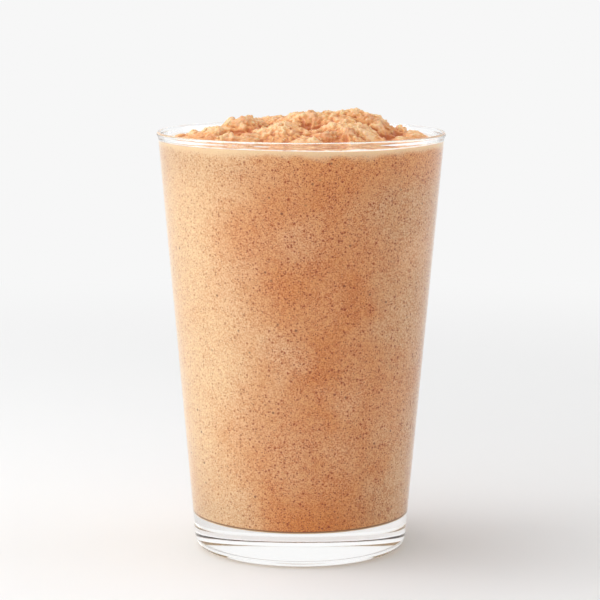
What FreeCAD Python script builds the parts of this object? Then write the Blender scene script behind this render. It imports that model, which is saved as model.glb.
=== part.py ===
import FreeCAD
import Part
import Sketcher
import math
import os
import random

# Frozen coffee drink: a heavy-based clear glass tumbler, filled almost to its lip with blended coffee slush
# that stands in an uneven, lumpy heap above the rim.
# Millimetres, +Z up. The origin is the centre of the base, on the surface that the tumbler stands on.

Vector = FreeCAD.Vector

# name of the size, value, what it is
DRIVING_SIZES = (
    ("glassHeight", 128.4, "base to top of lip"),
    ("rimRadius", 44.0, "widest outer radius, at the lip"),
    ("footRadius", 32.4, "outer wall carried straight down to the base"),
    ("footRound", 3.4, "outer rounding between wall and base"),
    ("lipRound", 0.75, "radius of the fully rounded lip, half the wall there"),
    ("lipFlare", 0.32, "how far the lip stands out past the straight outer wall"),
    ("flareRound", 3.0, "hollow rounding between outer wall and lip"),
    ("heelWall", 3.2, "wall beside the cavity floor"),
    ("heelRound", 1.2, "inner rounding between wall and cavity floor"),
    ("floorThickness", 10.5, "solid glass under the drink"),
    ("restRadius", 24.0, "inner radius of the ring that the tumbler stands on"),
    ("puntRise", 0.3, "height of the shallow hollow inside that ring"),
    ("fillDepth", 0.9, "from the lower end of the lip's rounding down to the drink, inside its shoulder"),
    ("edgeWander", 0.5, "how much lower the drink's edge gets round the wall"),
    ("shoulderDrop", 0.6, "how much further the drink falls at the wall"),
    ("shoulderWidth", 4.0, "ring beside the wall in which it falls so far"),
    ("crownRise", 8.4, "height of the heap's broad lobes over the drink's edge"),
    ("crownRadius", 34.0, "radius that the lobes are laid out in"),
    ("crownShift", 1.0, "how far the heap's middle lies towards +X"),
    ("skirtWidth", 7.5, "ring beside the wall in which the heap dies away"),
    ("lumpRadius", 3.4, "usual radius of a lump"),
    ("lumpRise", 1.1, "usual height of a lump"),
    ("topAllowance", 6.0, "stock over the highest lobe, cut away by the surface"),
)

# The heap's broad lobes: X, Y and radius as shares of crownRadius, then height as a share of crownRise.
# The larger LOBE_BLEND is, the more sharply they meet; the larger LOBE_FULLNESS is, the flatter their tops.
CROWN_LOBES = (
    (0.04, 0.10, 0.45, 0.88),
    (0.38, 0.06, 0.46, 0.89),
    (0.60, 0.04, 0.30, 0.74),
    (0.34, -0.40, 0.44, 0.66),
    (-0.20, -0.34, 0.44, 0.52),
    (-0.56, 0.00, 0.32, 0.72),
    (-0.24, 0.44, 0.46, 0.66),
    (0.26, 0.56, 0.44, 0.72),
    (0.84, 0.08, 0.19, 0.29),
    (-0.84, -0.20, 0.20, 0.30),
    (-0.52, -0.58, 0.26, 0.22),
    (0.04, -0.78, 0.26, 0.24),
)
LOBE_BLEND = 3.0
LOBE_FULLNESS = 3
# Waves that the drink's edge makes round the wall: how many, and where each starts, in radians.
EDGE_WAVES = ((2, 0.4), (3, 1.9), (5, 4.1))
# How the lumps vary: sizes as shares of the usual, swing in radians about their spiral, share of dents.
LUMP_COUNT = 150
LUMP_SEED = 11
LUMP_SPREAD = (0.75, 1.45)
LUMP_SWING = 0.25
DENT_SHARE = 0.35
DENT_DEPTH = 0.7
GRID_STEPS = 68
GOLDEN_ANGLE = math.pi * (3.0 - math.sqrt(5.0))

WALL_TOP_RADIUS = "Sizes.rimRadius - Sizes.lipFlare"
CAVITY_FLOOR_RADIUS = (
    "Sizes.footRadius + (Sizes.rimRadius - Sizes.lipFlare - Sizes.footRadius)"
    " * Sizes.floorThickness / Sizes.glassHeight - Sizes.heelWall"
)
LIP_CENTRE_RADIUS = "Sizes.rimRadius - Sizes.lipRound"
LIP_CENTRE_HEIGHT = "Sizes.glassHeight - Sizes.lipRound"
STOCK_HEIGHT = "Sizes.glassHeight + Sizes.crownRise + Sizes.topAllowance"

# Sketcher's codes for the parts of a piece of geometry, and for the sketch's own axes
START, END, CENTRE = 1, 2, 3
AXIS_X, AXIS_Y = -1, -2
# A bottom corner's arc runs from straight down to where the leaning wall begins: a first guess, in degrees.
STRAIGHT_DOWN = 270
LEANING_WALL = 355


def makeSheet(doc):
    """The spreadsheet of driving sizes: what each is, and its value under its own name."""
    sheet = doc.addObject("Spreadsheet::Sheet", "Sizes")
    for row, (name, value, note) in enumerate(DRIVING_SIZES, start=1):
        sheet.set(f"A{row}", note)
        sheet.set(f"B{row}", str(value))
        sheet.setAlias(f"B{row}", name)
    doc.recompute()
    return sheet


def uprightSketch(doc, body, name):
    """An empty sketch on the body's XZ plane, where sketch X is the radius and sketch Y is the height."""
    plane = next(f for f in body.Origin.OriginFeatures if f.Role == "XZ_Plane")
    sketch = body.newObject("Sketcher::SketchObject", name)
    sketch.AttachmentSupport = [(plane, "")]
    sketch.MapMode = "FlatFace"
    doc.recompute()
    return sketch


def line(startPoint, endPoint):
    return Part.LineSegment(Vector(*startPoint, 0), Vector(*endPoint, 0))


def arc(centre, radius, startDegrees, endDegrees):
    """An arc that runs anticlockwise from its start to its end."""
    circle = Part.Circle(Vector(*centre, 0), Vector(0, 0, 1), radius)
    return Part.ArcOfCircle(circle, math.radians(startDegrees), math.radians(endDegrees))


def bind(sketch, name, constraint, formula):
    """Adds a dimension under a name and ties it to the sheet."""
    index = sketch.addConstraint(constraint)
    sketch.renameConstraint(index, name)
    sketch.setExpression(f"Constraints.{name}", formula)


def bindPlace(sketch, name, geometry, point, radiusFormula, heightFormula, place):
    """Ties a point's distance from the axis and its height above the base to the sheet."""
    across = Sketcher.Constraint("DistanceX", AXIS_X, START, geometry, point, place[0])
    upward = Sketcher.Constraint("DistanceY", AXIS_X, START, geometry, point, place[1])
    bind(sketch, name + "Radius", across, radiusFormula)
    bind(sketch, name + "Height", upward, heightFormula)


def cavityFloorRadius(sheet):
    """Radius where the cavity's wall and floor would meet: that of the outer wall there, less the glass."""
    taper = (sheet.rimRadius - sheet.lipFlare - sheet.footRadius) / sheet.glassHeight
    return sheet.footRadius + taper * sheet.floorThickness - sheet.heelWall


def revolve(doc, body, sketch, name):
    feature = body.newObject("PartDesign::Revolution", name)
    feature.Profile = sketch
    feature.ReferenceAxis = (sketch, ["V_Axis"])
    feature.Angle = 360.0
    sketch.Visibility = False
    body.Tip = feature
    doc.recompute()
    return feature


def makeTumbler(doc, sheet):
    """The glass: one turned section with a hollow foot, a rounded corner, straight walls and a round lip."""
    body = doc.addObject("PartDesign::Body", "Tumbler")
    body.Label = "tumbler"
    sketch = uprightSketch(doc, body, "TumblerSection")

    floorRadius = cavityFloorRadius(sheet)
    lipCentre = (sheet.rimRadius - sheet.lipRound, sheet.glassHeight - sheet.lipRound)
    puntRadius = (sheet.restRadius**2 + sheet.puntRise**2) / (2 * sheet.puntRise)
    puntHalfAngle = math.degrees(math.asin(sheet.restRadius / puntRadius))
    footCentre = (sheet.footRadius - sheet.footRound, sheet.footRound)
    heelCentre = (floorRadius - sheet.heelRound, sheet.floorThickness + sheet.heelRound)
    wallTop = sheet.rimRadius - sheet.lipFlare
    flareReach = wallTop + sheet.flareRound - lipCentre[0]
    flareDrop = math.sqrt((sheet.flareRound + sheet.lipRound) ** 2 - flareReach**2)
    flareCentre = (lipCentre[0] + flareReach, lipCentre[1] - flareDrop)
    flareAngle = math.degrees(math.atan2(flareDrop, flareReach))

    # The first guess of each piece is close to its place; the constraints below settle it exactly.
    punt, ring, foot, outer, flare, lip, inner, heel, floor, axis = range(10)
    sketch.addGeometry(
        [
            arc((0, sheet.puntRise - puntRadius), puntRadius, 90 - puntHalfAngle, 90),
            line((sheet.restRadius, 0), (footCentre[0], 0)),
            arc(footCentre, sheet.footRound, STRAIGHT_DOWN, LEANING_WALL),
            line((sheet.footRadius, sheet.footRound), (wallTop, flareCentre[1])),
            arc(flareCentre, sheet.flareRound, 180 - flareAngle, 180),
            arc(lipCentre, sheet.lipRound, -flareAngle, 180),
            line((sheet.rimRadius - 2 * sheet.lipRound, lipCentre[1]), (floorRadius, heelCentre[1])),
            arc(heelCentre, sheet.heelRound, STRAIGHT_DOWN, LEANING_WALL),
            line((heelCentre[0], sheet.floorThickness), (0, sheet.floorThickness)),
            line((0, sheet.floorThickness), (0, sheet.puntRise)),
        ],
        False,
    )
    footCorner, rimCorner, cavityCorner = range(10, 13)
    sketch.addGeometry(
        [
            Part.Point(Vector(sheet.footRadius, 0, 0)),
            Part.Point(Vector(wallTop, sheet.glassHeight, 0)),
            Part.Point(Vector(floorRadius, sheet.floorThickness, 0)),
        ],
        True,
    )
    sketch.addConstraint(
        [
            Sketcher.Constraint("PointOnObject", punt, CENTRE, AXIS_Y),
            Sketcher.Constraint("PointOnObject", punt, END, AXIS_Y),
            Sketcher.Constraint("PointOnObject", punt, START, AXIS_X),
            Sketcher.Constraint("Coincident", punt, START, ring, START),
            Sketcher.Constraint("PointOnObject", ring, END, AXIS_X),
            Sketcher.Constraint("Tangent", ring, END, foot, START),
            Sketcher.Constraint("Tangent", foot, END, outer, START),
            Sketcher.Constraint("Tangent", outer, END, flare, END),
            Sketcher.Constraint("Tangent", flare, START, lip, START),
            Sketcher.Constraint("Tangent", lip, END, inner, START),
            Sketcher.Constraint("Tangent", inner, END, heel, END),
            Sketcher.Constraint("Tangent", heel, START, floor, START),
            Sketcher.Constraint("Horizontal", floor),
            Sketcher.Constraint("PointOnObject", floor, END, AXIS_Y),
            Sketcher.Constraint("Coincident", floor, END, axis, START),
            Sketcher.Constraint("Coincident", axis, END, punt, END),
            Sketcher.Constraint("PointOnObject", footCorner, START, AXIS_X),
            Sketcher.Constraint("PointOnObject", footCorner, START, outer),
            Sketcher.Constraint("PointOnObject", rimCorner, START, outer),
            Sketcher.Constraint("PointOnObject", cavityCorner, START, floor),
            Sketcher.Constraint("PointOnObject", cavityCorner, START, inner),
        ]
    )
    restAcross = Sketcher.Constraint("DistanceX", AXIS_X, START, ring, START, sheet.restRadius)
    puntUpward = Sketcher.Constraint("DistanceY", AXIS_X, START, punt, END, sheet.puntRise)
    footAcross = Sketcher.Constraint("DistanceX", AXIS_X, START, footCorner, START, sheet.footRadius)
    bind(sketch, "restRadius", restAcross, "Sizes.restRadius")
    bind(sketch, "puntRise", puntUpward, "Sizes.puntRise")
    bind(sketch, "footRadius", footAcross, "Sizes.footRadius")
    bindPlace(sketch, "rimCorner", rimCorner, START, WALL_TOP_RADIUS, "Sizes.glassHeight",
              (wallTop, sheet.glassHeight))
    bind(sketch, "flareRound", Sketcher.Constraint("Radius", flare, sheet.flareRound), "Sizes.flareRound")
    bind(sketch, "footRound", Sketcher.Constraint("Radius", foot, sheet.footRound), "Sizes.footRound")
    bind(sketch, "lipRound", Sketcher.Constraint("Radius", lip, sheet.lipRound), "Sizes.lipRound")
    bind(sketch, "heelRound", Sketcher.Constraint("Radius", heel, sheet.heelRound), "Sizes.heelRound")
    bindPlace(sketch, "lipCentre", lip, CENTRE, LIP_CENTRE_RADIUS, LIP_CENTRE_HEIGHT, lipCentre)
    bindPlace(sketch, "cavityCorner", cavityCorner, START, CAVITY_FLOOR_RADIUS, "Sizes.floorThickness",
              (floorRadius, sheet.floorThickness))
    revolve(doc, body, sketch, "TumblerTurning")
    return body


def makeDrinkStock(doc, sheet):
    """What the cavity holds, carried on above the rim: same floor, heel and wall as the glass."""
    body = doc.addObject("PartDesign::Body", "DrinkStock")
    sketch = uprightSketch(doc, body, "DrinkSection")

    floorRadius = cavityFloorRadius(sheet)
    lipCentre = (sheet.rimRadius - sheet.lipRound, sheet.glassHeight - sheet.lipRound)
    stockHeight = sheet.glassHeight + sheet.crownRise + sheet.topAllowance
    heelCentre = (floorRadius - sheet.heelRound, sheet.floorThickness + sheet.heelRound)
    wallRadius = lipCentre[0] - sheet.lipRound

    floor, heel, wall, top, axis = range(5)
    sketch.addGeometry(
        [
            line((0, sheet.floorThickness), (heelCentre[0], sheet.floorThickness)),
            arc(heelCentre, sheet.heelRound, STRAIGHT_DOWN, LEANING_WALL),
            line((floorRadius, heelCentre[1]), (wallRadius, stockHeight)),
            line((wallRadius, stockHeight), (0, stockHeight)),
            line((0, stockHeight), (0, sheet.floorThickness)),
        ],
        False,
    )
    cavityCorner, lip = range(5, 7)
    sketch.addGeometry(
        [
            Part.Point(Vector(floorRadius, sheet.floorThickness, 0)),
            Part.Circle(Vector(*lipCentre, 0), Vector(0, 0, 1), sheet.lipRound),
        ],
        True,
    )
    sketch.addConstraint(
        [
            Sketcher.Constraint("Horizontal", floor),
            Sketcher.Constraint("PointOnObject", floor, START, AXIS_Y),
            Sketcher.Constraint("Tangent", floor, END, heel, START),
            Sketcher.Constraint("Tangent", heel, END, wall, START),
            Sketcher.Constraint("Coincident", wall, END, top, START),
            Sketcher.Constraint("Horizontal", top),
            Sketcher.Constraint("PointOnObject", top, END, AXIS_Y),
            Sketcher.Constraint("Coincident", top, END, axis, START),
            Sketcher.Constraint("Coincident", axis, END, floor, START),
            Sketcher.Constraint("PointOnObject", cavityCorner, START, floor),
            Sketcher.Constraint("PointOnObject", cavityCorner, START, wall),
            Sketcher.Constraint("Tangent", lip, wall),
        ]
    )
    bind(sketch, "heelRound", Sketcher.Constraint("Radius", heel, sheet.heelRound), "Sizes.heelRound")
    bind(sketch, "lipRound", Sketcher.Constraint("Radius", lip, sheet.lipRound), "Sizes.lipRound")
    bindPlace(sketch, "lipCentre", lip, CENTRE, LIP_CENTRE_RADIUS, LIP_CENTRE_HEIGHT, lipCentre)
    bindPlace(sketch, "cavityCorner", cavityCorner, START, CAVITY_FLOOR_RADIUS, "Sizes.floorThickness",
              (floorRadius, sheet.floorThickness))
    stockUpward = Sketcher.Constraint("DistanceY", AXIS_X, START, top, START, stockHeight)
    bind(sketch, "stockHeight", stockUpward, STOCK_HEIGHT)
    revolve(doc, body, sketch, "DrinkTurning")
    return body


def bump(distance, radius, fullness=2):
    """A smooth hump: one at its middle, nought from its radius outwards, flatter on top when fuller."""
    share = min(distance / radius, 1.0)
    return (1.0 - share**fullness) ** 2


def scatterLumps(sheet):
    """Lumps and dents over the whole surface: X, Y, radius and signed height of each."""
    source = random.Random(LUMP_SEED)
    lumps = []
    for index in range(LUMP_COUNT):
        reach = sheet.rimRadius * math.sqrt((index + 0.5) / LUMP_COUNT)
        angle = index * GOLDEN_ANGLE + source.uniform(-LUMP_SWING, LUMP_SWING)
        radius = sheet.lumpRadius * source.uniform(*LUMP_SPREAD)
        rise = sheet.lumpRise * source.uniform(*LUMP_SPREAD)
        if source.random() < DENT_SHARE:
            rise = -DENT_DEPTH * rise
        lumps.append((reach * math.cos(angle), reach * math.sin(angle), radius, rise))
    return lumps


def surfaceHeight(sheet, lumps, wallRadius, x, y):
    """Height of the drink's surface above the base at a place."""
    reach = math.hypot(x, y)
    angle = math.atan2(y, x)
    wander = sum(math.sin(count * angle + phase) for count, phase in EDGE_WAVES) / len(EDGE_WAVES)
    edge = sheet.glassHeight - sheet.lipRound - sheet.fillDepth - sheet.edgeWander * (0.5 - 0.5 * wander)
    fromWall = max(wallRadius - reach, 0.0)
    edge -= sheet.shoulderDrop * bump(fromWall, sheet.shoulderWidth)

    heap = 0.0
    for lobeX, lobeY, lobeRadius, lobeRise in CROWN_LOBES:
        middleX = sheet.crownShift + lobeX * sheet.crownRadius
        middleY = lobeY * sheet.crownRadius
        distance = math.hypot(x - middleX, y - middleY)
        heap += (lobeRise * bump(distance, lobeRadius * sheet.crownRadius, LOBE_FULLNESS)) ** LOBE_BLEND
    heap = sheet.crownRise * heap ** (1.0 / LOBE_BLEND)

    relief = 0.0
    for lumpX, lumpY, lumpRadius, lumpRise in lumps:
        relief += lumpRise * bump(math.hypot(x - lumpX, y - lumpY), lumpRadius)
    fade = 1.0 - bump(fromWall, sheet.skirtWidth)
    return edge + fade * (heap + relief)


def makeDrinkSurface(doc, sheet):
    """Everything under the drink's lumpy surface: a block whose upper face is one smooth free-form sheet."""
    wallRadius = sheet.rimRadius - 2 * sheet.lipRound
    lumps = scatterLumps(sheet)
    step = 2 * sheet.rimRadius / GRID_STEPS
    places = [index * step - sheet.rimRadius for index in range(GRID_STEPS + 1)]
    points = []
    for x in places:
        points.append([Vector(x, y, surfaceHeight(sheet, lumps, wallRadius, x, y)) for y in places])
    surface = Part.BSplineSurface()
    surface.interpolate(points)
    depth = sheet.glassHeight + sheet.crownRise + sheet.topAllowance
    feature = doc.addObject("Part::Feature", "SurfaceBlock")
    feature.Shape = surface.toShape().extrude(Vector(0, 0, -depth))
    return feature


def makeDrink(doc, sheet):
    """The slush: the cavity's content under its free-form surface, one solid with its heap."""
    drink = doc.addObject("Part::Common", "FrozenCoffee")
    drink.Label = "frozen_coffee"
    drink.Base = makeDrinkStock(doc, sheet)
    drink.Tool = makeDrinkSurface(doc, sheet)
    doc.recompute()
    return drink


def checkAll(doc, pieces):
    """Stops on anything that failed to build, and on a piece that is empty or broken."""
    for item in doc.Objects:
        if "Invalid" in item.State or "Error" in item.State:
            raise RuntimeError(f"{item.Label} did not build: {item.State}")
    for piece in pieces:
        if piece.Shape.isNull() or not piece.Shape.isValid():
            raise RuntimeError(f"{piece.Label} has no valid shape")


def main():
    doc = FreeCAD.newDocument("FrozenCoffeeDrink")
    sheet = makeSheet(doc)
    pieces = [makeTumbler(doc, sheet), makeDrink(doc, sheet)]
    doc.recompute()
    checkAll(doc, pieces)
    os.makedirs("parts", exist_ok=True)
    for piece in pieces:
        piece.Shape.exportStep(f"parts/{piece.Label}.step")
        box = piece.Shape.BoundBox
        print(f"{piece.Label}: {piece.Shape.Volume / 1000:.1f} ml, z {box.ZMin:.2f} to {box.ZMax:.2f} mm, "
              f"{box.XLength:.2f} x {box.YLength:.2f} mm, {len(piece.Shape.Solids)} solid")


main()
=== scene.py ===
import bpy
import math
import random
import numpy as np
from mathutils import Matrix, Vector, noise
from mathutils.bvhtree import BVHTree


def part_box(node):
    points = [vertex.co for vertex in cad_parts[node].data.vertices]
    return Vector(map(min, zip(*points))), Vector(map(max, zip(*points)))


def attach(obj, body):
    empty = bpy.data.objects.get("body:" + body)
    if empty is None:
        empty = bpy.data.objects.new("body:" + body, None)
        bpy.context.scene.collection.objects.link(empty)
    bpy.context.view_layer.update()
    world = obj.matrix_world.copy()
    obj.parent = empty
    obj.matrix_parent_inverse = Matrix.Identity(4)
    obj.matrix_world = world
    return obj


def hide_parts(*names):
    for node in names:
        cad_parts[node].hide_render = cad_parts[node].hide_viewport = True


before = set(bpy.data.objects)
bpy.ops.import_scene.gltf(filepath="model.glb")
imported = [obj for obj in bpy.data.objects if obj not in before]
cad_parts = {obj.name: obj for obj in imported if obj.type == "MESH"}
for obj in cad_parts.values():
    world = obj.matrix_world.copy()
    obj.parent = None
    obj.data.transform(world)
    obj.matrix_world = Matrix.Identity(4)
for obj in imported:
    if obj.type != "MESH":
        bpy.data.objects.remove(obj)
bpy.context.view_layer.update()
mm = 0.001

# the tumbler's own sizes in millimetres; its height and its rim are read from the frame
tumblerSizes = {
    "footRadius": 32.4,
    "footRound": 3.4,
    "lipRound": 0.75,
    "lipFlare": 0.32,
    "flareRound": 3.0,
    "heelWall": 3.2,
    "heelRound": 1.2,
    "floorThickness": 10.5,
    "restRadius": 24.0,
    "puntRise": 0.3,
    "wornHeight": 1.45,
    "aroundSteps": 288,
    "arcSteps": 14,
    "wallSteps": 40,
    "undersideSteps": 6,
    "floorSteps": 4,
}

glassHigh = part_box("tumbler")[1]
glassHeight = glassHigh.z / mm
rimRadius = glassHigh.x / mm


def cornerArc(before, corner, after, radius, steps):
    # the points of a rounding between two straight runs
    toBefore = (Vector(before) - Vector(corner)).normalized()
    toAfter = (Vector(after) - Vector(corner)).normalized()
    half = toBefore.angle(toAfter) / 2
    middle = (toBefore + toAfter).normalized()
    centre = Vector(corner) + middle * (radius / math.sin(half))
    start = Vector(corner) + toBefore * (radius / math.tan(half)) - centre
    end = Vector(corner) + toAfter * (radius / math.tan(half)) - centre
    turn = start.angle_signed(end)
    return [centre + Matrix.Rotation(-turn * i / steps, 2) @ start for i in range(steps + 1)]


def arcPoints(centre, radius, startAngle, endAngle, steps):
    angles = [startAngle + (endAngle - startAngle) * i / steps for i in range(steps + 1)]
    return [Vector((centre[0] + radius * math.cos(a), centre[1] + radius * math.sin(a))) for a in angles]


def cavityCorners(t):
    # where the cavity's wall meets its floor, and where it meets the round of the lip
    wallTop = rimRadius - t["lipFlare"]
    taper = (wallTop - t["footRadius"]) / glassHeight
    corner = Vector((t["footRadius"] + taper * t["floorThickness"] - t["heelWall"], t["floorThickness"]))
    lipCentre = Vector((rimRadius - t["lipRound"], glassHeight - t["lipRound"]))
    away = lipCentre - corner
    lean = math.atan2(away.y, away.x) + math.asin(t["lipRound"] / away.length)
    run = math.sqrt(away.length_squared - t["lipRound"] ** 2)
    return corner, corner + Vector((math.cos(lean), math.sin(lean))) * run


cavityCorner, cavityTop = cavityCorners(tumblerSizes)


def cavityRadius(height):
    share = (height - cavityCorner.y) / (cavityTop.y - cavityCorner.y)
    return cavityCorner.x + (cavityTop.x - cavityCorner.x) * share


def tumblerOutline(t):
    # radius and height of the section, from the middle of the underside round to that of the cavity's floor
    lipCentre = Vector((rimRadius - t["lipRound"], glassHeight - t["lipRound"]))
    footCorner = Vector((t["footRadius"], 0))
    wallTop = Vector((rimRadius - t["lipFlare"], glassHeight))
    along = (wallTop - footCorner).normalized()
    outward = Vector((along.y, -along.x))
    offset = footCorner + outward * t["flareRound"] - lipCentre
    reach = offset.dot(along)
    depth = math.sqrt(reach**2 - offset.length_squared + (t["flareRound"] + t["lipRound"]) ** 2)
    flareCentre = lipCentre + offset + along * (-reach - depth)
    toLip = lipCentre - flareCentre
    wallAngle = math.atan2(-outward.y, -outward.x)
    lipAngle = math.atan2(toLip.y, toLip.x)
    innerAngle = math.atan2(cavityTop.y - lipCentre.y, cavityTop.x - lipCentre.x)

    shares = [i / t["undersideSteps"] for i in range(t["undersideSteps"] + 1)]
    underside = [Vector((t["restRadius"] * share, t["puntRise"] * (1 - share**2))) for share in shares]
    foot = cornerArc(underside[-1], footCorner, wallTop, t["footRound"], t["arcSteps"])
    flare = arcPoints(flareCentre, t["flareRound"], wallAngle % (2 * math.pi), lipAngle, t["arcSteps"])
    lipEnds = (lipAngle - math.pi, innerAngle % (2 * math.pi))
    lip = arcPoints(lipCentre, t["lipRound"], *lipEnds, 2 * t["arcSteps"])
    floorMiddle = Vector((0, t["floorThickness"]))
    heel = cornerArc(cavityTop, cavityCorner, floorMiddle, t["heelRound"], t["arcSteps"])
    outer = [foot[-1].lerp(flare[0], i / t["wallSteps"]) for i in range(1, t["wallSteps"])]
    inner = [lip[-1].lerp(heel[0], i / t["wallSteps"]) for i in range(1, t["wallSteps"])]
    floor = [heel[-1].lerp(floorMiddle, i / t["floorSteps"]) for i in range(1, t["floorSteps"] + 1)]
    return underside + foot + outer + flare + lip[1:] + inner + heel + floor


def meshPiece(name, points, faces):
    mesh = bpy.data.meshes.new(name)
    mesh.from_pydata([tuple(p) for p in points], [], [tuple(f) for f in faces])
    mesh.update()
    mesh.polygons.foreach_set("use_smooth", [True] * len(mesh.polygons))
    piece = bpy.data.objects.new(name, mesh)
    bpy.context.scene.collection.objects.link(piece)
    return piece


def turned(name, outline, steps):
    # turns an outline that starts and ends on the axis into a closed mesh
    points = [Vector((0, 0, outline[0].y)), Vector((0, 0, outline[-1].y))]
    rings = outline[1:-1]
    for ring in rings:
        for k in range(steps):
            angle = 2 * math.pi * k / steps
            points.append(Vector((ring.x * math.cos(angle), ring.x * math.sin(angle), ring.y)))
    faces = []
    for k in range(steps):
        following = (k + 1) % steps
        faces.append((0, 2 + following, 2 + k))
        for r in range(len(rings) - 1):
            low, high = 2 + r * steps, 2 + (r + 1) * steps
            faces.append((low + k, low + following, high + following, high + k))
        last = 2 + (len(rings) - 1) * steps
        faces.append((1, last + k, last + following))
    return meshPiece(name, [p * mm for p in points], faces)


def addNode(tree, kind, settings=None, **inputs):
    # makes a node, sets its own settings, and fills or links its inputs, by name or by place (at0, at1)
    node = tree.nodes.new("ShaderNode" + kind)
    for key, value in (settings or {}).items():
        setattr(node, key, value)
    for key, value in inputs.items():
        byPlace = key.startswith("at") and key[2:].isdigit()
        socket = node.inputs[int(key[2:]) if byPlace else key.replace("_", " ")]
        if isinstance(value, bpy.types.NodeSocket):
            tree.links.new(value, socket)
        else:
            socket.default_value = value
    return node


def newMaterial(name):
    material = bpy.data.materials.new(name)
    material.use_nodes = True
    material.node_tree.nodes.clear()
    return material, material.node_tree


def calc(tree, operation, a, b=0.0):
    return addNode(tree, "Math", {"operation": operation}, at0=a, at1=b).outputs[0]


def vectorCalc(tree, operation, **inputs):
    return addNode(tree, "VectorMath", {"operation": operation}, **inputs).outputs[0]


def noiseNode(tree, place, scale, detail, roughness):
    return addNode(tree, "TexNoise", Vector=place, Scale=scale, Detail=detail, Roughness=roughness)


def objectPlace(tree):
    return addNode(tree, "TexCoord").outputs["Object"]


def ramp(tree, value, low, high, fromValue=0.0, toValue=1.0):
    # eases a value from one number to another between two limits
    return addNode(
        tree, "MapRange", {"interpolation_type": "SMOOTHSTEP"},
        Value=value, From_Min=low, From_Max=high, To_Min=fromValue, To_Max=toValue,
    ).outputs[0]


def blendColour(tree, factor, a, b, mode="MIX"):
    node = tree.nodes.new("ShaderNodeMix")
    node.data_type = "RGBA"
    node.blend_type = mode
    for index, value in ((0, factor), (6, a), (7, b)):
        if isinstance(value, bpy.types.NodeSocket):
            tree.links.new(value, node.inputs[index])
        else:
            node.inputs[index].default_value = value
    return node.outputs[2]


# clear soda-lime glass, which lamps shine through onto the drink; its worn foot hardly bends the light.
# in every finish below, a noise is its scale (cells to a metre), detail and roughness, and a span is two
# limits and the values at them
glassFinish = {
    "colour": (0.985, 0.99, 0.99, 1.0),
    "bend": 1.5,
    "smearNoise": (60.0, 2.0, 0.5),
    "smearSpan": (0.45, 0.75, 0.0, 0.03),
    "footRoughness": 0.12,
    "footBend": 1.06,
    "footNoise": (900.0, 3.0, 0.5),
    "footBump": (0.2, 0.0001),  # strength, and depth in metres
}


def finishGlass(tree, surface, colour):
    # lets the lamps' light through, so that the drink isn't in the glass's shadow
    passing = addNode(tree, "BsdfTransparent", Color=colour).outputs[0]
    isShadow = addNode(tree, "LightPath").outputs["Is Shadow Ray"]
    mixed = addNode(tree, "MixShader", at0=isShadow, at1=surface, at2=passing).outputs[0]
    addNode(tree, "OutputMaterial", Surface=mixed)


def glassMaterial(g):
    material, tree = newMaterial("clearGlass")
    smear = noiseNode(tree, objectPlace(tree), *g["smearNoise"]).outputs[0]
    surface = addNode(
        tree, "BsdfPrincipled", Base_Color=g["colour"], Roughness=ramp(tree, smear, *g["smearSpan"]),
        IOR=g["bend"], Transmission_Weight=1.0,
    ).outputs[0]
    finishGlass(tree, surface, g["colour"])
    return material


def footMaterial(g):
    material, tree = newMaterial("wornGlassFoot")
    grain = noiseNode(tree, objectPlace(tree), *g["footNoise"]).outputs[0]
    strength, depth = g["footBump"]
    bump = addNode(tree, "Bump", Strength=strength, Distance=depth, Height=grain).outputs[0]
    surface = addNode(
        tree, "BsdfPrincipled", Base_Color=g["colour"], Roughness=g["footRoughness"], IOR=g["footBend"],
        Transmission_Weight=1.0, Normal=bump,
    ).outputs[0]
    finishGlass(tree, surface, g["colour"])
    return material


tumbler = turned("glassTumbler", tumblerOutline(tumblerSizes), tumblerSizes["aroundSteps"])
tumbler.data.materials.append(glassMaterial(glassFinish))
tumbler.data.materials.append(footMaterial(glassFinish))
footInner = (tumblerSizes["footRadius"] - tumblerSizes["footRound"]) * mm
for face in tumbler.data.polygons:
    isLow = face.center.z < tumblerSizes["wornHeight"] * mm
    face.material_index = 1 if isLow and face.center.xy.length > footInner else 0
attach(tumbler, "root")
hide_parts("tumbler")
print("tumbler turned:", len(tumbler.data.polygons), "faces")

# how the drink fills the cavity and how rough its heap is, in millimetres
drinkSizes = {
    "underLip": 1.8,  # from the round of the lip down to where the drink meets the wall
    "intoWall": 0.15,  # so that no air gap shows between the drink and the glass
    "gridHalf": 138,
    "sideRows": 12,
    "heelSteps": 4,
    "castHeight": 200.0,
    "edgeInset": 0.35,
    "smoothRounds": 6,
    "rimFall": 0.15,
    "rimFallWidth": 0.5,
    "highlightRing": (0.25, 0.6, 1.8, 3.2),  # distances from the wall: none, full, full, none
    "calmSpan": (0.2, 3.0),  # distances from the wall between which the relief comes in
    "reliefLayers": ((5.4, 0.55), (2.6, 0.50), (1.35, 0.58), (0.8, 0.38)),  # size and rise of the grains
    "layerShift": (7.3, 3.1, 5.7),  # so that the grains of two layers don't line up
    "lumps": (  # place, reach and rise of single lumps and dips
        (-33.0, 6.0, 3.4, 2.6), (-28.0, -5.0, 4.2, 1.5), (-21.0, -22.0, 3.6, 0.8), (24.0, -19.0, 4.0, 0.8),
        (30.5, 6.0, 4.5, 0.9), (34.0, 14.0, 6.0, 1.3), (3.5, 3.0, 4.5, -0.8), (16.5, 6.0, 6.5, -1.0),
    ),
    "domeReach": 0.72,
    "domeMiddle": 0.45,
    "creaseRounds": (40, 500),
    "creaseDepths": (0.42, 1.3),
    "creaseMost": 2.0,
    "warpSize": 6.0,
    "warpReach": 1.4,
    "warpSeed": 1,
    "settle": 0.56,
    "soften": 1,
    "crownSpan": (0.6, 3.6),  # heights above the edge between which the relief grows to its full strength
    "calmShare": 0.45,
}
drinkEdge = glassHeight - tumblerSizes["lipRound"] - drinkSizes["underLip"]


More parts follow.
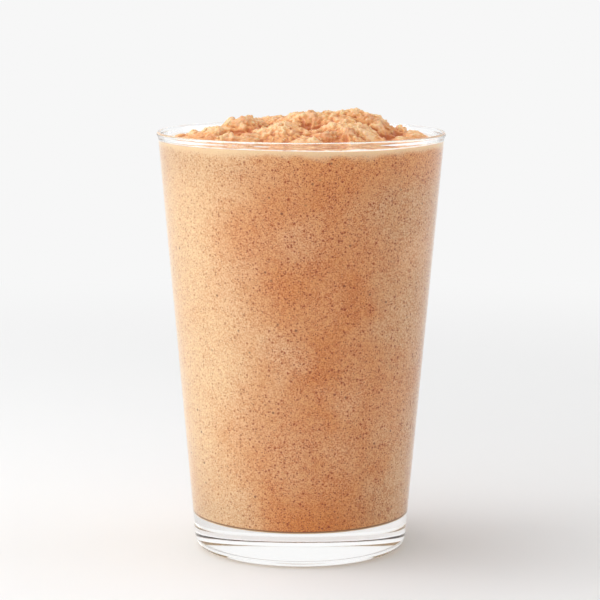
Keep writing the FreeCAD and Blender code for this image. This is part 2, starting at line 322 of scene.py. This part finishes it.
def discGrid(half):
    # an even grid of (2 half + 1) squared places over a disc of radius one
    line = np.linspace(-1, 1, 2 * half + 1)
    a, b = np.meshgrid(line, line, indexing="ij")
    wide = np.abs(a) > np.abs(b)
    safeA = np.where(a == 0, 1, a)
    safeB = np.where(b == 0, 1, b)
    reach = np.where(wide, a, b)
    angle = np.where(wide, math.pi / 4 * b / safeA, math.pi / 2 - math.pi / 4 * a / safeB)
    return reach * np.cos(angle), reach * np.sin(angle)


def borderWalk(half):
    # grid places round the edge, anticlockwise, each once
    last = 2 * half
    walk = [(last, j) for j in range(0, last)]
    walk += [(i, last) for i in range(last, 0, -1)]
    walk += [(0, j) for j in range(last, 0, -1)]
    walk += [(i, 0) for i in range(0, last)]
    return walk


def heapTree():
    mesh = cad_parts["frozen_coffee"].data
    corners = [v.co.copy() for v in mesh.vertices]
    return BVHTree.FromPolygons(corners, [tuple(p.vertices) for p in mesh.polygons])


def smoothGrid(values, rounds):
    for _ in range(rounds):
        padded = np.pad(values, 1, mode="edge")
        around = padded[:-2, 1:-1] + padded[2:, 1:-1] + padded[1:-1, :-2] + padded[1:-1, 2:]
        values = 0.5 * values + 0.125 * around
    return values


def eased(value, low, high):
    share = np.clip((value - low) / (high - low), 0, 1)
    return share * share * (3 - 2 * share)


def slushRelief(place, d):
    # rounded grains on rounded lumps: each layer is a field of domes with creases between them
    warp = noise.noise_vector(place / d["warpSize"]) * d["warpReach"]
    total = 0.0
    for index, (size, rise) in enumerate(d["reliefLayers"]):
        spot = (place + warp) / size + Vector([shift * index for shift in d["layerShift"]])
        nearest = noise.voronoi(spot)[0][0]
        dome = 1 - min(nearest / d["domeReach"], 1.0) ** 2
        total += rise * (dome - d["domeMiddle"])
    return total


def heapHeights(d, x, y):
    # the heap's height at each place, with the single lumps and dips added
    tree = heapTree()
    downward = Vector((0, 0, -1))
    limit = cavityRadius(drinkEdge) - d["edgeInset"]
    shrink = limit / np.maximum(np.hypot(x, y), limit)
    height = np.zeros_like(x)
    for i, j in np.ndindex(x.shape):
        above = Vector((x[i, j] * shrink[i, j] * mm, y[i, j] * shrink[i, j] * mm, d["castHeight"] * mm))
        height[i, j] = tree.ray_cast(above, downward)[0].z / mm
    height = smoothGrid(height, d["smoothRounds"])
    for lumpX, lumpY, lumpReach, lumpRise in d["lumps"]:
        share = np.clip(np.hypot(x - lumpX, y - lumpY) / lumpReach, 0, 1)
        height += lumpRise * (1 - share**2) ** 2
    return height


def gridNormals(x, y, height):
    alongI, alongJ = [np.stack([np.gradient(v, axis=k) for v in (x, y, height)], -1) for k in (0, 1)]
    normals = np.cross(alongI, alongJ)
    return normals / np.linalg.norm(normals, axis=-1, keepdims=True)


def shapeHeap(d):
    # a grid laid over the heap, with its border just inside the wall of the glass
    gridX, gridY = discGrid(d["gridHalf"])
    outerReach = cavityRadius(drinkEdge) + d["intoWall"]
    x, y = gridX * outerReach, gridY * outerReach
    height = heapHeights(d, x, y)
    normals = gridNormals(x, y, height)

    # the relief comes in away from the wall, and is strongest on the crown
    fromWall = cavityRadius(drinkEdge) - np.hypot(x, y)
    rise = height - np.median(height[[0, -1], :])
    calm = eased(fromWall, *d["calmSpan"])
    crown = d["calmShare"] + (1 - d["calmShare"]) * eased(rise, *d["crownSpan"])
    relief = np.zeros_like(x)
    noise.seed_set(d["warpSeed"])  # without it noise_vector differs from run to run
    for i, j in np.argwhere(calm > 0):
        relief[i, j] = slushRelief(Vector((x[i, j], y[i, j], height[i, j])), d)
    amount = smoothGrid((relief - d["settle"]) * calm * crown, d["soften"])
    fall = d["rimFall"] * np.exp(-np.maximum(fromWall, 0) / d["rimFallWidth"])
    top = np.stack([x, y, height - fall], -1) + normals * amount[..., None]

    # how far each place stands out of its surroundings, near and far; the colours follow it, as painted
    # shade in the creases and painted highlights on the grains
    standing = np.zeros_like(x)
    for rounds, depth in zip(d["creaseRounds"], d["creaseDepths"]):
        standing += (top[..., 2] - smoothGrid(top[..., 2], rounds)) / depth
    standing = np.clip(standing * calm, -d["creaseMost"], d["creaseMost"])
    # a painted highlight in a ring just inside the wall
    start, full, end, gone = d["highlightRing"]
    ringHighlight = eased(fromWall, start, full) * (1 - eased(fromWall, end, gone))
    return top, normals, rise, calm, standing, ringHighlight


def sideRings(d, edge):
    # rings of places under the edge: down the wall, then round the heel
    heel = cornerArc(
        (cavityTop.x + d["intoWall"], cavityTop.y),
        (cavityCorner.x + d["intoWall"], cavityCorner.y - d["intoWall"]),
        (0, cavityCorner.y - d["intoWall"]),
        tumblerSizes["heelRound"], d["heelSteps"],
    )
    rings = []
    for row in range(d["sideRows"]):
        share = (row + 1) / (d["sideRows"] + 1)
        levels = [start.z + (heel[0].y - start.z) * share for start in edge]
        rings.append([(cavityRadius(level) + d["intoWall"], level) for level in levels])
    return rings + [[tuple(spot)] * len(edge) for spot in heel]


def fillDrink(d):
    top, normals, rise, calm, standing, ringHighlight = shapeHeap(d)
    count = top.shape[0]
    points = [Vector(p) for p in top.reshape(-1, 3)]
    depths = [0.0] * len(points)
    faces = []
    for i in range(count - 1):
        for j in range(count - 1):
            a = i * count + j
            faces.append((a, a + count, a + count + 1, a + 1))
    topFaces = len(faces)

    # the wall hangs from the border, and the underside closes it
    border = [i * count + j for i, j in borderWalk(d["gridHalf"])]
    edge = [points[index] for index in border]
    angles = [math.atan2(start.y, start.x) for start in edge]
    steps = len(border)
    upper = border
    for ring in sideRings(d, edge):
        lower = range(len(points), len(points) + steps)
        for start, angle, (radius, level) in zip(edge, angles, ring):
            points.append(Vector((radius * math.cos(angle), radius * math.sin(angle), level)))
            depths.append(start.z - level)
        for k in range(steps):
            following = (k + 1) % steps
            faces.append((upper[k], lower[k], lower[following], upper[following]))
        upper = lower
    middle = len(points)
    points.append(Vector((0, 0, points[-1].z)))
    depths.append(depths[-1])
    faces += [(middle, upper[(k + 1) % steps], upper[k]) for k in range(steps)]

    piece = meshPiece("slushDrink", [p * mm for p in points], faces)
    mesh = piece.data
    mesh.polygons.foreach_set("material_index", [0 if k < topFaces else 1 for k in range(len(faces))])
    plain = [0.0] * (len(points) - top.shape[0] * top.shape[1])
    shades, ringHighlights = list(standing.reshape(-1)) + plain, list(ringHighlight.reshape(-1)) + plain
    for name, values in (("relief", shades), ("highlightRing", ringHighlights), ("underEdge", depths)):
        mesh.attributes.new(name, "FLOAT", "POINT").data.foreach_set("value", values)
    edgeKeys = {tuple(sorted((border[k], border[(k + 1) % steps]))) for k in range(steps)}
    sharp = mesh.attributes.new("sharp_edge", "BOOLEAN", "EDGE")
    sharp.data.foreach_set("value", [tuple(sorted(e.vertices)) in edgeKeys for e in mesh.edges])
    print("drink filled:", len(faces), "faces, heap", round(float(rise.max()), 1), "mm above its edge")
    return piece, top, normals, rise, calm


# colours are linear red, green, blue
slushColours = {
    "body": (0.77, 0.38, 0.155, 1),
    "deep": (0.74, 0.31, 0.088, 1),
    "low": (0.72, 0.26, 0.05, 1),
    "high": (0.80, 0.385, 0.14, 1),
    "cloud": (0.84, 0.53, 0.31, 1),
    "leftLight": (0.90, 0.66, 0.42, 1),
    "rightReflection": (0.77, 0.52, 0.31, 1),
    "endShade": (0.76, 0.50, 0.30, 1),
    "webPale": (1.09, 1.195, 1.19, 1),
    "webDark": (0.69, 0.28, 0.02, 1),
    "speckDark": (0.44, 0.12, 0.0, 1),
    "dot": (0.20, 0.035, 0.002, 1),
    "litCream": (0.92, 0.70, 0.43, 1),
    "ringHighlight": (0.95, 0.90, 0.80, 1),
    "heelShade": (0.30, 0.12, 0.045, 1),
    "peakHighlight": (0.90, 0.59, 0.32, 1),
    "heap": (0.79, 0.375, 0.135, 1),
    "deepToneAndCreaseShade": (0.49, 0.12, 0.015, 1),
}
# where paler patches lie against the glass: degrees round from the front, height and reach in millimetres,
# and strength
cloudPatches = (
    (-7, 66, 11, 0.8), (-2, 100, 12, 0.55), (60, 96, 13, 0.7), (23, 52, 12, 0.6), (-38, 84, 12, 0.5),
    (50, 44, 14, 0.5), (18, 34, 10, 0.45), (140, 90, 14, 0.6), (-120, 60, 13, 0.6), (180, 40, 13, 0.6),
    (-12, 37, 21, 0.42), (-27, 92, 12, 0.5),
)
# sides run from -1 at the right to 1 at the left, heights and reaches are in millimetres
sideLook = {
    "swirlNoise": (60.0, 3.0, 0.55),
    "swirlReach": 22.0,
    "broadNoise": (30.0, 3.0, 0.5),
    "driftNoise": {"Scale": 48.0, "Detail": 2.0, "W": 3.0},
    "wobble": 1.4,
    "deepSpan": (0.42, 0.62, 0.0, 0.85),
    "leftLightSpan": (-0.1, 0.95, 0.0, 0.9),
    "rightReflectionSpan": (0.45, 1.0, 0.0, 0.9),
    "lowReach": 20.0,
    "lowWobble": 10.0,
    "lowShare": 0.95,
    "lowMiddle": 0.2,
    "lowSpan": (0.1, 0.85, 1.0, 0.0),
    "highReach": (17.0, 4.0),
    "highShare": 0.7,
    "highSpan": (-0.1, 0.5, 1.0, 0.0),
    "endShadeFoot": (12.0, 40.0),
    "endShadeHead": (108.0, 124.0),
    "endShadeSpan": (0.1, 0.9, 0.0, 0.8),
    "grainNoise": (2300.0, 1.0, 0.5),
    "grainSpan": (0.40, 0.62, 0.0, 0.7),
    "motes": (2500.0, 0.08, 0.52, 1.0),  # scale, share of bare cells, largest size in cells, strength
    "specks": ((1850.0, 0.30, 0.42, 1.0), (1100.0, 0.60, 0.42, 1.0)),
    "speckRim": (-0.04, 0.1),  # how softly a speck ends, in cells
    "thinSpan": (-0.1, 0.9, 1.0, 0.6),
    "crowdNoise": (150.0, 2.0, 0.5),
    "crowdSpan": (0.3, 0.7, 0.75, 1.0),
    "dotScale": 250.0,
    "dotSpan": (0.05, 0.13, 0.85, 0.0),
    "dotChance": (0.6, 0.7, 0.0, 1.0),
    "litCreamNoise": (75.0, 3.0, 0.5),
    "litCreamDepth": (0.35, 0.65, 1.05, 2.45),
    "litCreamSpan": (0.1, 1.7, 0.9, 0.0),
    "heelShade": (0.5, 0.8, 0.9),  # heights over the cavity's floor, and strength
    "footLight": (0.15, 0.3, 1.0),
    "roughness": 0.55,
    "shine": 0.2,
    "clearness": 0.1,  # how much light runs on inside the slush, in which colours, and how far in metres
    "clearTint": (1.0, 0.5, 0.25),
    "clearReach": 0.001,
}


def patchShare(tree, warp, patches):
    # how far a place lies inside any of the paler patches
    total = 0.0
    for turn, height, reach, strength in patches:
        angle = math.radians(turn)
        radius = cavityRadius(height)
        middle = Vector((radius * math.sin(angle), -radius * math.cos(angle), height)) * mm
        away = addNode(tree, "VectorMath", {"operation": "DISTANCE"}, at0=warp, at1=middle).outputs["Value"]
        share = ramp(tree, away, 0.0, reach * mm, strength, 0.0)
        total = calc(tree, "MAXIMUM", share, total)
    return total


def speckShare(tree, place, scale, bare, largest, strength):
    # round specks of random size, one to a cell, with bare cells between them
    cells = addNode(tree, "TexVoronoi", {"feature": "F1"}, Vector=place, Scale=scale)
    chance = addNode(tree, "SeparateColor", Color=cells.outputs["Color"]).outputs[0]
    reach = ramp(tree, chance, bare, 1.0, 0.0, largest)
    inside = calc(tree, "SUBTRACT", reach, cells.outputs["Distance"])
    return ramp(tree, inside, *sideLook["speckRim"], 0.0, strength)


def sideMaterial(c, look):
    # slush pressed against the glass: cloudy, finely speckled, with painted light in cream along its top
    # edge
    material, tree = newMaterial("slushAgainstGlass")
    place = objectPlace(tree)
    parts = addNode(tree, "SeparateXYZ", Vector=place).outputs
    level = parts[2]
    swirl = noiseNode(tree, place, *look["swirlNoise"]).outputs["Color"]
    swirl = vectorCalc(tree, "SUBTRACT", at0=swirl, at1=(0.5, 0.5, 0.5))
    swirl = vectorCalc(tree, "SCALE", at0=swirl, Scale=look["swirlReach"] * mm)
    warp = vectorCalc(tree, "ADD", at0=place, at1=swirl)
    broad = noiseNode(tree, warp, *look["broadNoise"]).outputs[0]
    sliced = {"noise_dimensions": "4D"}
    drift = addNode(tree, "TexNoise", sliced, Vector=warp, **look["driftNoise"]).outputs[0]

    # how far a place lies to the left, as a share of the cavity's radius at its level
    taper = (cavityTop.x - cavityCorner.x) / (cavityTop.y - cavityCorner.y)
    base = (cavityCorner.x - taper * cavityCorner.y) * mm
    radius = calc(tree, "ADD", calc(tree, "MULTIPLY", level, taper), base)
    side = calc(tree, "MULTIPLY", calc(tree, "DIVIDE", parts[0], radius), -1.0)
    wobble = calc(tree, "MULTIPLY", calc(tree, "SUBTRACT", broad, 0.5), look["wobble"])
    leftLit = calc(tree, "ADD", side, wobble)
    rightness = calc(tree, "SUBTRACT", wobble, side)
    colour = blendColour(tree, ramp(tree, drift, *look["deepSpan"]), c["body"], c["deep"])
    # painted light and painted reflection, paler towards the left side
    colour = blendColour(tree, ramp(tree, leftLit, *look["leftLightSpan"]), colour, c["leftLight"])
    # painted reflection of the pale room down the right edge
    colour = blendColour(tree, ramp(tree, rightness, *look["rightReflectionSpan"]), colour, c["rightReflection"])
    colour = blendColour(tree, patchShare(tree, warp, cloudPatches), colour, c["cloud"])

    # painted shade near the foot, painted light under the rim, and painted shade at both ends of the
    # painted-lit left side
    foot = tumblerSizes["floorThickness"]
    swaying = calc(tree, "ADD", level, calc(tree, "MULTIPLY", wobble, look["lowWobble"] * mm))
    footShade = ramp(tree, swaying, foot * mm, (foot + look["lowReach"]) * mm, look["lowShare"], 0.0)
    aside = calc(tree, "ABSOLUTE", calc(tree, "ADD", side, look["lowMiddle"]))
    footShade = calc(tree, "MULTIPLY", footShade, ramp(tree, aside, *look["lowSpan"]))
    colour = blendColour(tree, footShade, colour, c["low"])
    # painted light below the rim, away from the painted-lit left side
    highStart, highEnd = [(drinkEdge - reach) * mm for reach in look["highReach"]]
    rimLight = ramp(tree, level, highStart, highEnd, 0.0, look["highShare"])
    rimLight = calc(tree, "MULTIPLY", rimLight, ramp(tree, leftLit, *look["highSpan"]))
    colour = blendColour(tree, rimLight, colour, c["high"])
    # painted shade at the foot and under the rim, where the left side is painted lit
    nearFoot = ramp(tree, level, *[height * mm for height in look["endShadeFoot"]], 1.0, 0.0)
    nearHead = ramp(tree, level, *[height * mm for height in look["endShadeHead"]])
    ends = calc(tree, "MAXIMUM", nearFoot, nearHead)
    ends = calc(tree, "MULTIPLY", ends, ramp(tree, leftLit, *look["endShadeSpan"]))
    colour = blendColour(tree, ends, colour, c["endShade"])

    # fine grain and motes, then specks of two sizes, all thinner where the left side is painted lit
    web = ramp(tree, noiseNode(tree, place, *look["grainNoise"]).outputs[0], *look["grainSpan"])
    web = calc(tree, "MAXIMUM", web, speckShare(tree, place, *look["motes"]))
    specks = 0.0
    for kind in look["specks"]:
        specks = calc(tree, "MAXIMUM", speckShare(tree, place, *kind), specks)
    thin = ramp(tree, leftLit, *look["thinSpan"])
    crowd = ramp(tree, noiseNode(tree, place, *look["crowdNoise"]).outputs[0], *look["crowdSpan"])
    web = calc(tree, "MULTIPLY", web, calc(tree, "MULTIPLY", thin, crowd))
    speckled = blendColour(tree, 1.0, colour, c["webDark"], "MULTIPLY")
    colour = blendColour(tree, 1.0, colour, c["webPale"], "MULTIPLY")
    dotted = blendColour(tree, 1.0, colour, c["speckDark"], "MULTIPLY")
    colour = blendColour(tree, web, colour, speckled)
    colour = blendColour(tree, calc(tree, "MULTIPLY", specks, thin), colour, dotted)

    # a few larger dark dots
    rare = addNode(tree, "TexVoronoi", {"feature": "F1"}, Vector=place, Scale=look["dotScale"])
    chance = addNode(tree, "SeparateColor", Color=rare.outputs["Color"]).outputs[1]
    dots = ramp(tree, rare.outputs["Distance"], *look["dotSpan"])
    dots = calc(tree, "MULTIPLY", dots, ramp(tree, chance, *look["dotChance"]))
    colour = blendColour(tree, dots, colour, c["dot"])

    # painted light in cream along the top edge, and round the foot a thin painted shade with painted light
    # on the slush beneath
    ragged = noiseNode(tree, place, *look["litCreamNoise"]).outputs[0]
    depth = addNode(tree, "Attribute", {"attribute_name": "underEdge"}).outputs["Fac"]
    litCream = calc(tree, "DIVIDE", depth, ramp(tree, ragged, *look["litCreamDepth"]))
    colour = blendColour(tree, ramp(tree, litCream, *look["litCreamSpan"]), colour, c["litCream"])
    # painted shade in a thin line just above the cavity's floor, and painted light on the slush below it
    for (start, end, strength), tone in ((look["heelShade"], c["heelShade"]), (look["footLight"], c["litCream"])):
        share = ramp(tree, level, (foot + start) * mm, (foot + end) * mm, strength, 0.0)
        colour = blendColour(tree, share, colour, tone)
    surface = addNode(
        tree, "BsdfPrincipled", Base_Color=colour, Roughness=look["roughness"],
        Specular_IOR_Level=look["shine"], Subsurface_Weight=look["clearness"],
        Subsurface_Radius=look["clearTint"], Subsurface_Scale=look["clearReach"],
    ).outputs[0]
    addNode(tree, "OutputMaterial", Surface=surface)
    return material


# the open heap: painted highlights on grains that stand out of their surroundings, and painted shade in the
# creases
heapLook = {
    "mottleNoise": (700.0, 3.0, 0.65),
    "mottleSpan": (0.3, 0.7, -0.6, 0.5),
    "creaseShadeSpan": (-1.3, 0.0, 0.0, 1.0),
    "peakHighlightSpan": (0.0, 1.1, 0.0, 0.95),
    "broadNoise": (150.0, 2.0, 0.5),
    "broadSpan": (0.5, 0.7, 0.0, 0.5),
    "bumpNoise": (1600.0, 3.0, 0.6),
    "bump": (0.4, 0.0002),  # strength, and depth in metres
    "roughSpan": (0.35, 0.65, 0.35, 0.6),
    "clearness": 0.3,
    "clearTint": (1.0, 0.42, 0.15),
    "clearReach": 0.0018,
}


def heapMaterial(c, look, name):
    material, tree = newMaterial(name)
    place = objectPlace(tree)
    relief = addNode(tree, "Attribute", {"attribute_name": "relief"}).outputs["Fac"]
    mottle = noiseNode(tree, place, *look["mottleNoise"]).outputs[0]
    broad = noiseNode(tree, place, *look["broadNoise"]).outputs[0]
    lifted = calc(tree, "ADD", relief, ramp(tree, mottle, *look["mottleSpan"]))
    # painted shade in the creases and painted highlights on standing grains; the third blend is random
    # patches of deeper tone
    colour = blendColour(tree, ramp(tree, lifted, *look["creaseShadeSpan"]), c["deepToneAndCreaseShade"], c["heap"])
    colour = blendColour(tree, ramp(tree, lifted, *look["peakHighlightSpan"]), colour, c["peakHighlight"])
    colour = blendColour(tree, ramp(tree, broad, *look["broadSpan"]), colour, c["deepToneAndCreaseShade"])
    # painted highlight: a near-white ring just inside the wall
    ring = addNode(tree, "Attribute", {"attribute_name": "highlightRing"}).outputs["Fac"]
    colour = blendColour(tree, ring, colour, c["ringHighlight"])
    grains = noiseNode(tree, place, *look["bumpNoise"]).outputs[0]
    strength, depth = look["bump"]
    bump = addNode(tree, "Bump", Strength=strength, Distance=depth, Height=grains).outputs[0]
    surface = addNode(
        tree, "BsdfPrincipled", Base_Color=colour, Normal=bump,
        Roughness=ramp(tree, mottle, *look["roughSpan"]), Subsurface_Weight=look["clearness"],
        Subsurface_Radius=look["clearTint"], Subsurface_Scale=look["clearReach"],
    ).outputs[0]
    addNode(tree, "OutputMaterial", Surface=surface)
    return material


drink, topGrid, topNormals, topRise, topCalm = fillDrink(drinkSizes)
drink.data.materials.append(heapMaterial(slushColours, heapLook, "heapedSlush"))
drink.data.materials.append(sideMaterial(slushColours, sideLook))
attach(drink, "root")
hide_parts("frozen_coffee")
print("drink finished:", [material.name for material in drink.data.materials])

# loose icy crumbs lying on the heap, in millimetres
crumbSizes = {
    "count": 600,
    "smallest": 0.2,
    "largest": 0.5,
    "sink": 0.62,
    "calmLeast": 0.6,
    "crownSpan": (0.4, 3.0),
    "crownShare": 0.85,
    "smallBias": 2.2,
    "stretch": (0.7, 1.25),
    "lumpiness": 0.28,
    "lumpSize": 1.6,
    # how far the crumbs take the heap's painted highlight colour
    "highlightShare": 0.9,
    "seed": 5,
}


def ballShape():
    # a unit ball of small triangles
    phi = (1 + math.sqrt(5)) / 2
    corners = [Vector(p).normalized() for p in (
        (-1, phi, 0), (1, phi, 0), (-1, -phi, 0), (1, -phi, 0),
        (0, -1, phi), (0, 1, phi), (0, -1, -phi), (0, 1, -phi),
        (phi, 0, -1), (phi, 0, 1), (-phi, 0, -1), (-phi, 0, 1),
    )]
    faces = [
        (0, 11, 5), (0, 5, 1), (0, 1, 7), (0, 7, 10), (0, 10, 11), (1, 5, 9), (5, 11, 4),
        (11, 10, 2), (10, 7, 6), (7, 1, 8), (3, 9, 4), (3, 4, 2), (3, 2, 6), (3, 6, 8),
        (3, 8, 9), (4, 9, 5), (2, 4, 11), (6, 2, 10), (8, 6, 7), (9, 8, 1),
    ]
    halves, finer = {}, []

    def between(a, b):
        key = (min(a, b), max(a, b))
        if key not in halves:
            halves[key] = len(corners)
            corners.append((corners[a] + corners[b]).normalized())
        return halves[key]

    for a, b, c in faces:
        ab, bc, ca = between(a, b), between(b, c), between(c, a)
        finer += [(a, ab, ca), (b, bc, ab), (c, ca, bc), (ab, bc, ca)]
    return corners, finer


def scatterCrumbs(s):
    source = random.Random(s["seed"])
    corners, triangles = ballShape()
    count = topGrid.shape[0]
    points, faces = [], []
    made = 0
    while made < s["count"]:
        i, j = source.randrange(2, count - 2), source.randrange(2, count - 2)
        if topCalm[i, j] < s["calmLeast"]:
            continue
        onCrown = float(eased(topRise[i, j], *s["crownSpan"]))
        if source.random() > (1 - s["crownShare"]) + s["crownShare"] * onCrown:
            continue
        size = s["smallest"] + (s["largest"] - s["smallest"]) * source.random() ** s["smallBias"]
        place = Vector(topGrid[i, j]) + Vector(topNormals[i, j]) * size * (1 - 2 * s["sink"])
        turn = Vector([source.uniform(-1, 1) for _ in range(3)]).to_track_quat("Z", "Y")
        stretch = Vector([source.uniform(*s["stretch"]) for _ in range(3)])
        base = len(points)
        for corner in corners:
            rough = 1 + s["lumpiness"] * noise.noise(corner * s["lumpSize"] + place)
            shaped = Vector([a * b for a, b in zip(corner, stretch)]) * size * rough
            points.append((place + turn @ shaped) * mm)
        faces += [(base + a, base + b, base + c) for a, b, c in triangles]
        made += 1
    piece = meshPiece("slushCrumbs", points, faces)
    # painted highlight: every crumb gets the colour of a standing grain
    relief = piece.data.attributes.new("relief", "FLOAT", "POINT")
    relief.data.foreach_set("value", [s["highlightShare"]] * len(points))
    print("crumbs scattered:", made)
    return piece


crumbs = scatterCrumbs(crumbSizes)
crumbs.data.materials.append(heapMaterial(slushColours, heapLook, "crumbSlush"))
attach(crumbs, "root")

# a wide pale floor, in metres; past its near part, which keeps the shadow, it is as pale as the room
floorSizes = {
    "half": 12.0,
    "steps": 48,
    "farSpan": (0.16, 0.60),
    "matt": (0.86, 0.86, 0.86, 1),
    "far": (0.93, 0.93, 0.93, 1),
    "drop": 0.0002,
}


def layFloor(s):
    line = [-s["half"] + 2 * s["half"] * k / s["steps"] for k in range(s["steps"] + 1)]
    points = [(x, y, 0.0) for x in line for y in line]
    row = s["steps"] + 1
    faces = [
        (i * row + j, (i + 1) * row + j, (i + 1) * row + j + 1, i * row + j + 1)
        for i in range(s["steps"]) for j in range(s["steps"])
    ]
    piece = meshPiece("studioFloor", points, faces)
    material, tree = newMaterial("paleFloor")
    place = addNode(tree, "NewGeometry").outputs["Position"]
    away = addNode(tree, "VectorMath", {"operation": "LENGTH"}, at0=place).outputs["Value"]
    far = ramp(tree, away, *s["farSpan"])
    paths = addNode(tree, "LightPath").outputs
    bent = calc(tree, "MAXIMUM", paths["Is Glossy Ray"], paths["Is Transmission Ray"])
    seen = calc(tree, "MAXIMUM", paths["Is Camera Ray"], bent)
    matt = addNode(tree, "BsdfDiffuse", Color=s["matt"]).outputs[0]
    glow = addNode(tree, "Emission", Color=s["far"], Strength=1.0).outputs[0]
    mixed = addNode(tree, "MixShader", at0=calc(tree, "MULTIPLY", far, seen), at1=matt, at2=glow).outputs[0]
    addNode(tree, "OutputMaterial", Surface=mixed)
    piece.data.materials.append(material)
    piece.location.z = -s["drop"]
    print("floor laid:", len(faces), "faces")


layFloor(floorSizes)

# soft boxes round the glass: place and size in metres, brightness as a share of white
lampPlan = {
    "sideBox": {"place": (-0.72, -0.22, 0.35), "aim": (0, 0, 0.07), "size": (1.0, 0.8), "glow": 1.78},
    "frontBox": {"place": (-0.35, -1.3, 0.75), "aim": (0, 0, 0.07), "size": (0.9, 0.6), "glow": 1.9},
    "topBox": {"place": (-0.40, 0.15, 0.85), "aim": (0, 0, 0.1), "size": (0.7, 0.7), "glow": 1.85},
    "rightCard": {"place": (0.8, 0.1, 0.3), "aim": (0, 0, 0.07), "size": (0.7, 0.8), "glow": 1.2},
}
worldLight = {
    "ambient": 0.52,
    "backdrop": 0.93,
    "behind": 1.0,
    "front": 0.62,  # what the glass finds in front of it
    "frontSpan": (-0.5, 0.0),  # from straight ahead, at -1, to straight behind, at 1
}


def hangLamps(plan):
    for name, spec in plan.items():
        light = bpy.data.lights.new(name, "AREA")
        light.shape = "RECTANGLE"
        light.size, light.size_y = spec["size"]
        light.energy = spec["glow"] * math.pi * spec["size"][0] * spec["size"][1]
        lamp = bpy.data.objects.new(name, light)
        bpy.context.scene.collection.objects.link(lamp)
        lamp.location = spec["place"]
        toward = Vector(spec["aim"]) - Vector(spec["place"])
        lamp.rotation_euler = toward.to_track_quat("-Z", "Y").to_euler()
    print("lamps hung:", ", ".join(plan))


def lightWorld(w):
    world = bpy.data.worlds.new("studio")
    bpy.context.scene.world = world
    world.use_nodes = True
    tree = world.node_tree
    tree.nodes.clear()
    paths = addNode(tree, "LightPath").outputs
    bent = calc(tree, "MAXIMUM", paths["Is Glossy Ray"], paths["Is Transmission Ray"])
    # the front half of the room is dimmer to the glass, for contrast in its edges
    ways = addNode(tree, "SeparateXYZ", Vector=addNode(tree, "TexCoord").outputs["Generated"]).outputs
    dimmer = ramp(tree, ways[1], *w["frontSpan"], w["front"], w["behind"])
    ambient = addNode(tree, "Background", Color=(1, 1, 1, 1), Strength=w["ambient"]).outputs[0]
    around = addNode(tree, "Background", Color=(1, 1, 1, 1), Strength=dimmer).outputs[0]
    plain = addNode(tree, "Background", Color=(1, 1, 1, 1), Strength=w["backdrop"]).outputs[0]
    mixed = addNode(tree, "MixShader", at0=bent, at1=ambient, at2=around).outputs[0]
    mixed = addNode(tree, "MixShader", at0=paths["Is Camera Ray"], at1=mixed, at2=plain).outputs[0]
    addNode(tree, "OutputWorld", Surface=mixed)


hangLamps(lampPlan)
lightWorld(worldLight)

# a long lens, a little above the rim; metres, degrees, and millimetres for the lens
cameraPlan = {
    "away": 0.7505,
    "height": 0.1877,
    "aside": -0.00025,
    "downDegrees": 8.434,
    "leanDegrees": 0.145,
    "lens": 148.11,
    "sensor": 36.0,
}


def placeCamera(c):
    data = bpy.data.cameras.new("camera")
    data.sensor_width = c["sensor"]
    data.lens = c["lens"]
    camera = bpy.data.objects.new("camera", data)
    bpy.context.scene.collection.objects.link(camera)
    tilt = Matrix.Rotation(math.pi / 2 - math.radians(c["downDegrees"]), 3, "X")
    camera.rotation_euler = (tilt @ Matrix.Rotation(math.radians(c["leanDegrees"]), 3, "Z")).to_euler()
    camera.location = (c["aside"], -c["away"], c["height"])
    bpy.context.scene.camera = camera
    print("camera placed:", [round(v, 4) for v in camera.location])


placeCamera(cameraPlan)
bpy.context.scene.view_settings.view_transform = "Standard"
